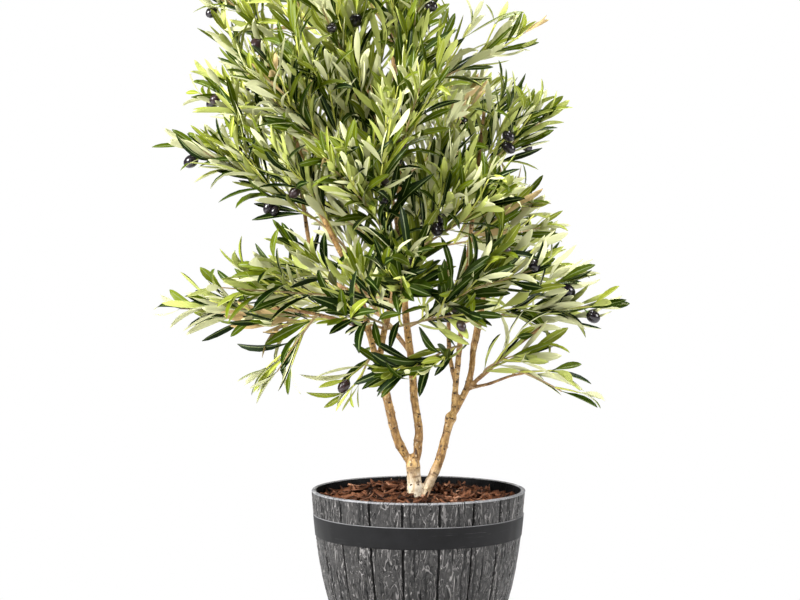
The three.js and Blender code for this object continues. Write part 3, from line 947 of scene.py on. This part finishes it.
# How far the tips of shoots and of leaves may stand out of the foliage's solids. The second line is for
# the masses that hang or stand alone, and for the top ring.
SHOOT_SPARE, LEAF_SPARE = -0.006, 0.028
LONE_SHOOT_SPARE, LONE_LEAF_SPARE = 0.002, 0.024
TIP_SPARE = 0.024              # and how much further the last leaves on a shoot may reach
INNER_SPARE = 0.050            # the same between solids, inside the crown
TIER_GAP = 0.090               # a gap between solids, up and down, that shoots grow across
FAN_REACH = 0.31               # how far from the crown's middle shoots head out as much as up
FOOT_LIFT = 0.04               # how much they head up at the crown's foot, where 1 is the most
BOX_SPARE = np.array([0.024, 0.019, 0.036])
SHORTEST = 4                   # points on the shortest shoot that is kept
RINGS = ("skirt", "low", "mid", "high", "top")

LOOSE_RINGS = ("skirt", "low")  # where the gaps between shoots widen most, further out
SIDE_SHOOT, TWIGLET = (0.0019, 0.0010), (0.0013, 0.0008)    # radius at the foot and at the tip

limb_points = np.concatenate([line for line, _ in limb_lines.values()])
shoots = []                    # each holds its line, thick and thin radius, mass, order and tone


def crown_axis(z):
    """The middle of the crown's outline at a height: the crown leans to the left as it rises."""
    return np.array([-0.010 - 0.13 * (z - 0.45), 0.0, z])


foliage_points, foliage_faces = [], []
for mass in MASSES:
    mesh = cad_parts[mass].data
    foliage_faces += [[v + len(foliage_points) for v in p.vertices] for p in mesh.polygons]
    foliage_points += [v.co.copy() for v in mesh.vertices]
foliage_shell = BVHTree.FromPolygons(foliage_points, foliage_faces)


def is_inside(at):
    """Whether a point lies in one of the foliage's solids, by the faces that are above it."""
    above = 0
    while at is not None:
        at = foliage_shell.ray_cast(at, Vector((0, 0, 1)))[0]
        if at is not None:
            at = at + Vector((0, 0, 0.00002))
            above += 1
    return above % 2 == 1


def stands_out(point, spare):
    """Whether a point lies further out of the foliage's solids than spare, where nothing is round it."""
    at = Vector(point)
    gap = foliage_shell.find_nearest(at)[3]
    gap = -gap if is_inside(at) else gap
    if gap <= spare:
        return False
    outward = Vector((point - crown_axis(point[2])) * (1, 1, 0)).normalized()
    above, below = (foliage_shell.ray_cast(at, Vector((0, 0, way)), TIER_GAP)[3] for way in (1, -1))
    between = above is not None and below is not None and above + below < TIER_GAP
    covered = between or foliage_shell.ray_cast(at + outward * 0.005, outward, 0.2)[0] is not None
    return gap > INNER_SPARE or not covered


def in_box(points, spare):
    """Whether points stay in the CAD model's box, widened by a spare on each side."""
    low, high = (np.array(corner) for corner in cad_bounds)
    return ((points > low - spare) & (points < high + spare)).all()


def ring_of(mass):
    """The crown's ring that a mass is in, or another word if it hangs or stands alone."""
    return mass.split("_")[1]


def in_ring(mass):
    """Whether a mass is in one of the crown's five rings."""
    return ring_of(mass) in RINGS


def fan(point, mass):
    """The way shoots head: up in the crown's middle, outwards at its foot and sides, down in a droop."""
    aside = (point - crown_axis(point[2])) * (1, 1, 0) / FAN_REACH
    if "droop" in mass:
        return unit(aside - 0.8 * UP)
    high = min(1.0, max(0.0, (point[2] - CROWN_FOOT) / (CROWN_FULL - CROWN_FOOT)))
    return unit(aside + UP * (FOOT_LIFT + (1 - FOOT_LIFT) * high))


def grow(start, direction, length, pull, bend, count=9):
    """A line that sets out in one direction and turns towards another as it grows."""
    points = [start]
    heading = unit(direction)
    for _ in range(count - 1):
        heading = unit(heading + pull * bend / (count - 1) + rng.normal(0, 0.045, 3))
        points.append(points[-1] + heading * length / (count - 1))
    return np.array(points)


def side_shoots(parent, mass, order, tone, start, gap, lengths):
    """Shoots all round a parent shoot, each cut where it would leave the foliage."""
    run = run_of(parent)
    tangents, normals, binormals = frames_along(parent)
    turn = rng.uniform(0, 2 * math.pi)
    at = start * run[-1]
    made = []
    while at < 0.96 * run[-1]:
        i = int(np.searchsorted(run, at))
        spread = np.hypot(*(parent[i] - crown_axis(parent[i][2]))[:2])
        thinning = 0 if ring_of(mass) == "top" else 1.9 if ring_of(mass) in LOOSE_RINGS else 1.1
        at += rng.uniform(*gap) * (1 + thinning * smoothstep(*THINNING, spread))
        turn += GOLDEN + rng.normal(0, 0.3)
        out = math.cos(turn) * normals[i] + math.sin(turn) * binormals[i]
        way = fan(parent[i], mass) if in_ring(mass) else unit(tangents[i] + 0.5 * fan(parent[i], mass))
        direction = way + 0.45 * tangents[i] + (0.60 if order == 1 and in_ring(mass) else 0.75) * out
        shoot = grow(parent[i], direction, rng.uniform(*lengths), way, 0.6)
        keep = len(shoot)
        spare = SHOOT_SPARE if in_ring(mass) and ring_of(mass) != "top" else LONE_SHOOT_SPARE
        while keep > 1 and (stands_out(shoot[keep - 1], spare) or not in_box(shoot[keep - 1], -0.012)):
            keep -= 1
        if keep < SHORTEST:
            continue
        radii = SIDE_SHOOT if order == 1 else TWIGLET
        made.append((shoot[:keep], *radii, mass, order, tone + rng.normal(0, 0.20)))
    return made


for mass in MASSES:
    points, _ = node_arrays(mass)
    along = points @ long_axis(points)
    middle = points.mean(0)
    ends = [points[np.argmin(along)], points[np.argmax(along)]]
    gaps = [np.linalg.norm(limb_points - end, axis=1).min() for end in ends]
    root, tip = ends if gaps[1] > gaps[0] else ends[::-1]
    cost = np.linalg.norm(limb_points - root, axis=1) + 0.6 * np.maximum(0, limb_points[:, 2] - root[2])
    attach = limb_points[int(np.argmin(cost))]
    tip_in = tip - unit(tip - middle) * LEAF_LENGTH * 0.5
    t = np.linspace(0, 1, 26)[:, None]
    first = attach + (root - attach) * 0.7 + UP * 0.01
    spray = ((1 - t) ** 3 * attach + 3 * t * (1 - t) ** 2 * first + 3 * t * t * (1 - t) * middle
             + t ** 3 * tip_in)
    tone = rng.normal(0, 0.22)
    shoots.append((spray, 0.0023, 0.0010, mass, 0, tone))
    lone = not in_ring(mass) and ring_of(mass) != "leader"
    gap, lengths = SPARSE_GAP, SPARSE_LENGTH
    if lone:
        gap, lengths = SPRAY_GAP, SPRAY_LENGTH
    elif ring_of(mass) in ("mid", "high", "leader"):
        gap, lengths = SHOOT_GAP, SHOOT_LENGTH
    first_order = side_shoots(spray, mass, 1, tone, 0.16, gap, lengths)
    shoots.extend(first_order)
    for shoot in first_order:
        if run_of(shoot[0])[-1] > BEARS_TWIGLETS:
            shoots.extend(side_shoots(shoot[0], mass, 2, shoot[5], 0.25, TWIGLET_GAP, TWIGLET_LENGTH))

twigs = [tube(line, np.linspace(thick, thin, len(line)), 5) for line, thick, thin, *_ in shoots]
shoot_green = plain_material("shoot_green", (0.50, 0.51, 0.090), 0.5)
shoot_tan = plain_material("shoot_tan", (0.34, 0.24, 0.11), 0.6)
twig_slots = np.concatenate([np.full(len(twig[k]), int(order == 0))
                             for k in (1, 2) for twig, (*_, order, _) in zip(twigs, shoots)])
shoot_piece = mesh_piece("shoots", *joined_tubes(twigs), [shoot_green, shoot_tan], twig_slots)
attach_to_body(shoot_piece, "root")

# ---------------------------------------------------------------------------
# Leaves: die-cut fabric leaves in pairs up each shoot, with a pale midrib, a
# dark upper side and a silvery underside, brighter and smaller near the tips.
# ---------------------------------------------------------------------------
leaf_list = []
PAIR_GAP = (0.0135, 0.0185)
LEAF_LEAN = (20, 44)           # degrees off the shoot, at its foot
TURNED_SPRAYS = 0.12           # the share of shoots that are twisted over and show their undersides
OFTEN_OVER, SELDOM_OVER = 0.75, 0.13       # the share of leaves turned over on those and on the others
UP_FACING, OUT_FACING = 0.65, 1.35         # how much a leaf faces the sky and away from the crown's axis
for line, thick, thin, mass, order, tone in shoots:
    run = run_of(line)
    tangents, normals, binormals = frames_along(line)
    length = run[-1]
    at = (0.34 if in_ring(mass) else 0.12) * length if order == 0 else 0.016
    turn = rng.uniform(0, 2 * math.pi)
    turned_over = OFTEN_OVER if rng.random() < TURNED_SPRAYS else SELDOM_OVER
    under_kind = rng.random()
    while at <= length:
        i = min(int(np.searchsorted(run, at)), len(line) - 1)
        share = at / length
        for side in (0, math.pi):
            around = turn + side + rng.normal(0, 0.25)
            out = math.cos(around) * normals[i] + math.sin(around) * binormals[i]
            lean = math.radians(rng.uniform(*LEAF_LEAN)) * (1 - 0.35 * share)
            direction = math.cos(lean) * tangents[i] + math.sin(lean) * out
            face = math.sin(lean) * tangents[i] - math.cos(lean) * out
            size = (0.72 + 0.42 * math.sin(math.pi * min(1, share * 0.75 + 0.2))) * rng.uniform(0.78, 1.15)
            leaf_list.append((line[i], direction, face, size, share, mass, tone, turned_over, under_kind))
        turn += math.pi / 2 + rng.normal(0, 0.3)
        at += rng.uniform(*PAIR_GAP)
    for _ in range(2):
        direction = unit(tangents[-1] + rng.normal(0, 0.28, 3))
        leaf_list.append((line[-1], direction, unit(np.cross(direction, rng.normal(0, 1, 3))),
                          rng.uniform(0.5, 0.85), 1.0, mass, tone, turned_over, under_kind))

count = len(leaf_list)
base, heading, face = (np.array([leaf[k] for leaf in leaf_list]) for k in range(3))
size, share = (np.array([leaf[k] for leaf in leaf_list]) for k in (3, 4))
leaf_mass = np.array([MASSES.index(leaf[5]) for leaf in leaf_list])
tone, turned_over, under_kind = (np.array([leaf[k] for leaf in leaf_list]) for k in (6, 7, 8))
heading /= np.linalg.norm(heading, axis=1)[:, None]
outward = base - crown_axis(0.6)
outward[:, 2] = 0
outward /= np.linalg.norm(outward, axis=1)[:, None] + 1e-9
face = face + UP_FACING * UP + OUT_FACING * outward + rng.normal(0, 0.5, (count, 3))
flip = rng.random(count) < turned_over
face[flip] *= -1
face -= heading * (face * heading).sum(1)[:, None]
face /= np.linalg.norm(face, axis=1)[:, None]
side = np.cross(face, heading)

# Stations up a leaf, with its half-width at each as a share of the widest.
LEAF_STATIONS = np.array([0.0, 0.14, 0.34, 0.55, 0.74, 0.90, 1.0])
LEAF_OUTLINE = np.array([0.10, 0.24, 0.74, 1.0, 0.92, 0.58, 0.10])
LEAF_ROWS = len(LEAF_STATIONS) - 1
LEAF_COLUMNS = 5
LEAF_WIDTH = 0.0106
LOW_WIDER, LOW_LONGER = 0.0036, 0.008      # how much larger leaves are at the crown's foot
RIB = 0.10                     # half the midrib's width, as a share of half the leaf's
THICK = 0.00045
t = LEAF_STATIONS
low_down = 1 - smoothstep(CROWN_FOOT, CROWN_FULL, base[:, 2])
length = (LEAF_LENGTH + LOW_LONGER * low_down) * size
half = 0.5 * (LEAF_WIDTH + LOW_WIDER * low_down) * (0.6 + 0.4 * size) * rng.uniform(0.75, 1.25, count)
bend = np.radians(rng.normal(14, 26, count))
sway = np.radians(rng.normal(0, 14, count))
twist = np.radians(rng.normal(0, 16, count))
fold = np.radians(rng.uniform(8, 38, count))
step = np.diff(t, prepend=0)
angle = bend[:, None] * t[None] ** 1.2
drift = sway[:, None] * t[None]
along = np.cumsum(np.cos(angle) * np.cos(drift) * step, 1) * length[:, None]
drop = np.cumsum(np.sin(angle) * step, 1) * length[:, None]
aside = np.cumsum(np.sin(drift) * step, 1) * length[:, None]
centre = (base[:, None] + heading[:, None] * along[..., None] - face[:, None] * drop[..., None]
          + side[:, None] * aside[..., None])
local_up = face[:, None] * np.cos(angle)[..., None] + heading[:, None] * np.sin(angle)[..., None]
spun = (twist[:, None] * t[None])[..., None]
across = side[:, None] * np.cos(spun) + local_up * np.sin(spun)
normal = local_up * np.cos(spun) - side[:, None] * np.sin(spun)
width = (half[:, None] * LEAF_OUTLINE[None])[..., None]
rise = np.sin(fold)[:, None, None]
flat = np.cos(fold)[:, None, None]
rib_lift = normal * (width * RIB * rise + 0.0001)
columns = np.stack([
    centre - across * width * flat + normal * width * rise,
    centre - across * width * RIB + rib_lift,
    centre + across * width * RIB + rib_lift,
    centre + across * width * flat + normal * width * rise,
    centre - normal * THICK * np.minimum(1, LEAF_OUTLINE * 3)[None, :, None],
], 2)
leaf_points = columns.reshape(count, -1, 3)
inside = np.array([in_box(leaf, BOX_SPARE) for leaf in leaf_points])
spare_of = [LEAF_SPARE if in_ring(mass) and ring_of(mass) != "top" else LONE_LEAF_SPARE for mass in MASSES]
spares = np.array(spare_of)[leaf_mass] + TIP_SPARE * (share == 1.0)
inside &= np.array([not stands_out(tip, spare) for tip, spare in zip(centre[:, -1], spares)])
rows = np.arange(LEAF_ROWS)[:, None] * LEAF_COLUMNS
k = np.arange(LEAF_COLUMNS)
after = (k + 1) % LEAF_COLUMNS
corners = np.stack([rows + k, rows + LEAF_COLUMNS + k, rows + LEAF_COLUMNS + after, rows + after], -1)
# Each quad is cut towards the margin, the same way above and below, so the two skins never cross.
CUTS = np.array([(0, 1, 3, 1, 2, 3), (0, 1, 2, 0, 2, 3)])[[0, 1, 1, 0, 1]]
cuts = np.broadcast_to(CUTS, (LEAF_ROWS, *CUTS.shape))
leaf_triangles = np.take_along_axis(corners, cuts, -1).reshape(-1, 3)
leaf_ends = np.stack([k, LEAF_ROWS * LEAF_COLUMNS + k[::-1]])
# Upper blade, midrib, blade, underside, underside, and two triangles of each.
BLADE_OR_RIB = np.tile(np.repeat([0, 1, 0, 2, 2], 2), LEAF_ROWS)

LEAF_TOPS = [(0.006, 0.016, 0.001), (0.020, 0.038, 0.001), (0.052, 0.078, 0.001), (0.112, 0.146, 0.003),
             (0.195, 0.230, 0.018), (0.285, 0.325, 0.036), (0.390, 0.425, 0.105), (0.45, 0.465, 0.105)]
LEAF_RIBS = [(0.13, 0.17, 0.04), (0.38, 0.42, 0.11)]
LEAF_UNDERS = [(0.58, 0.59, 0.33), (0.38, 0.42, 0.11), (0.47, 0.34, 0.16)]
DARK_TOPS = 3                  # how many of the tops are dark and shine less
LIGHT_TOPS = 4                 # from which of the tops on the midrib is light too
top_materials = [plain_material(f"leaf_top_{n}", colour, 0.40, 0.06 if n < DARK_TOPS else 0.14)
                 for n, colour in enumerate(LEAF_TOPS)]
rib_materials = [plain_material(f"leaf_rib_{n}", colour, 0.45) for n, colour in enumerate(LEAF_RIBS)]
under_materials = [plain_material(f"leaf_under_{n}", colour, 0.65, 0.15)
                   for n, colour in enumerate(LEAF_UNDERS)]
tops, ribs = len(LEAF_TOPS), len(LEAF_RIBS)
# How light a leaf's top is: lighter with its shoot's tone and near the shoots' tips, darker towards the
# crown's foot.
top_lightness = 2.35 - 1.6 * low_down + 2.4 * tone + 2.4 * share ** 4 + rng.normal(0, 1.35, count)
top_slot = np.clip(top_lightness, 0, tops - 0.01).astype(int)
rib_slot = tops + (top_slot >= LIGHT_TOPS)
under_slot = tops + ribs + np.select([under_kind + rng.normal(0, 0.12, count) < 0.58, under_kind < 0.93],
                                     [0, 1], 2)
leaf_slots = np.stack([top_slot, rib_slot, under_slot], 1)[:, BLADE_OR_RIB]

for ring in RINGS + ("sprays",):
    members = [mass for mass in MASSES if (ring_of(mass) if in_ring(mass) else "sprays") == ring]
    chosen = np.isin(leaf_mass, [MASSES.index(mass) for mass in members]) & inside
    number = int(chosen.sum())
    shift = (np.arange(number) * leaf_points.shape[1])[:, None, None]
    triangles = (leaf_triangles[None] + shift).reshape(-1, 3)
    ends = (leaf_ends[None] + shift).reshape(-1, LEAF_COLUMNS)
    leaves = mesh_piece(f"leaves_{ring}", leaf_points[chosen].reshape(-1, 3), [triangles, ends],
                        top_materials + rib_materials + under_materials,
                        np.concatenate([leaf_slots[chosen].ravel(), np.repeat(top_slot[chosen], 2)]))
    column = values_of(leaves.data.edges, "vertices", 2, np.int32) % LEAF_COLUMNS
    margin = (column[:, 0] == column[:, 1]) & np.isin(column[:, 0], (0, 3))
    leaves.data.attributes.new("sharp_edge", "BOOLEAN", "EDGE").data.foreach_set("value", margin)
    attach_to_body(leaves, "root")
    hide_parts(*members)

# ---------------------------------------------------------------------------
# Olives: glossy near-black moulded fruit, each hung from a shoot on a short
# green stalk with a little cap.
# ---------------------------------------------------------------------------
rng = np.random.default_rng(57)
OLIVES = 60
OLIVE_RADIUS, PROUD_RADIUS = (0.0060, 0.0082), (0.0080, 0.0100)
STALK_LENGTH = (0.006, 0.011)
OLIVE_SIDES, OLIVE_ROWS = 14, 9
# Where the fattest hang in front of the leaves: sideways and up.
PROUD_OLIVES = [(0.004, 0.938), (-0.312, 0.716), (-0.322, 0.804), (-0.322, 0.928), (-0.230, 0.890),
                (-0.090, 0.922), (-0.018, 0.742), (0.117, 0.742), (0.018, 0.617), (0.171, 0.594),
                (0.262, 0.502), (0.220, 0.522), (-0.120, 0.392)]
bearing = [point for line, _, _, mass, order, _ in shoots if order > 0 and "droop" not in mass
           for point in line[1:-1]]
bearing = np.array([point for point in bearing if not stands_out(point, -0.012)])
picked = list(rng.choice(len(bearing), OLIVES, replace=False))
for x, z in PROUD_OLIVES:
    off = np.hypot(bearing[:, 0] - x, bearing[:, 2] - 0.02 - z) + 0.12 * (bearing[:, 1] + 0.26)
    picked.append(int(np.argmin(off)))
fruit_points, fruit_quads, fruit_slots = [], [], []
offset = 0
for n, index in enumerate(picked):
    node = bearing[index]
    out = unit((node - crown_axis(node[2])) * (1, 1, 0))
    hang = unit(0.7 * out - 0.8 * UP + rng.normal(0, 0.35, 3))
    fat = rng.uniform(*(OLIVE_RADIUS if n < OLIVES else PROUD_RADIUS))
    tall = fat * rng.uniform(1.15, 1.45)
    stalk_length = rng.uniform(*STALK_LENGTH)
    middle = node + hang * (stalk_length + tall)
    across_way = unit(np.cross(hang, (1.0, 0.2, 0.1)))
    over_way = np.cross(hang, across_way)
    polar = np.linspace(0.0, math.pi, OLIVE_ROWS)
    around = np.arange(OLIVE_SIDES) * 2 * math.pi / OLIVE_SIDES
    ring_r = fat * np.maximum(np.sin(polar), 0.02)
    ring_h = -tall * np.cos(polar)
    around = around[None, :, None]
    spokes = np.cos(around) * across_way + np.sin(around) * over_way
    rings = middle + hang * ring_h[:, None, None] + ring_r[:, None, None] * spokes
    quads = ring_quads(OLIVE_ROWS, OLIVE_SIDES)[:, INWARD]
    fruit_points.append(rings.reshape(-1, 3))
    fruit_quads.append(quads + offset)
    fruit_slots.append(np.full(len(quads), int(rng.random() < 0.3)))
    offset += OLIVE_ROWS * OLIVE_SIDES
    stalk_line = node + hang * np.linspace(0, stalk_length + tall * 0.12, 4)[:, None]
    points, quads, _ = tube(stalk_line, np.array([0.0008, 0.0008, 0.0010, 0.0030]), 8)
    fruit_points.append(points)
    fruit_quads.append(quads + offset)
    fruit_slots.append(np.full(len(quads), 2))
    offset += len(points)
olive_skins = [plain_material("olive_black", (0.010, 0.007, 0.010), 0.22),
               plain_material("olive_purple", (0.026, 0.012, 0.014), 0.3),
               plain_material("olive_stalk", (0.13, 0.21, 0.04), 0.5)]
olives = mesh_piece("olives", np.concatenate(fruit_points), [np.concatenate(fruit_quads)], olive_skins,
                    np.concatenate(fruit_slots))
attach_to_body(olives, "root")
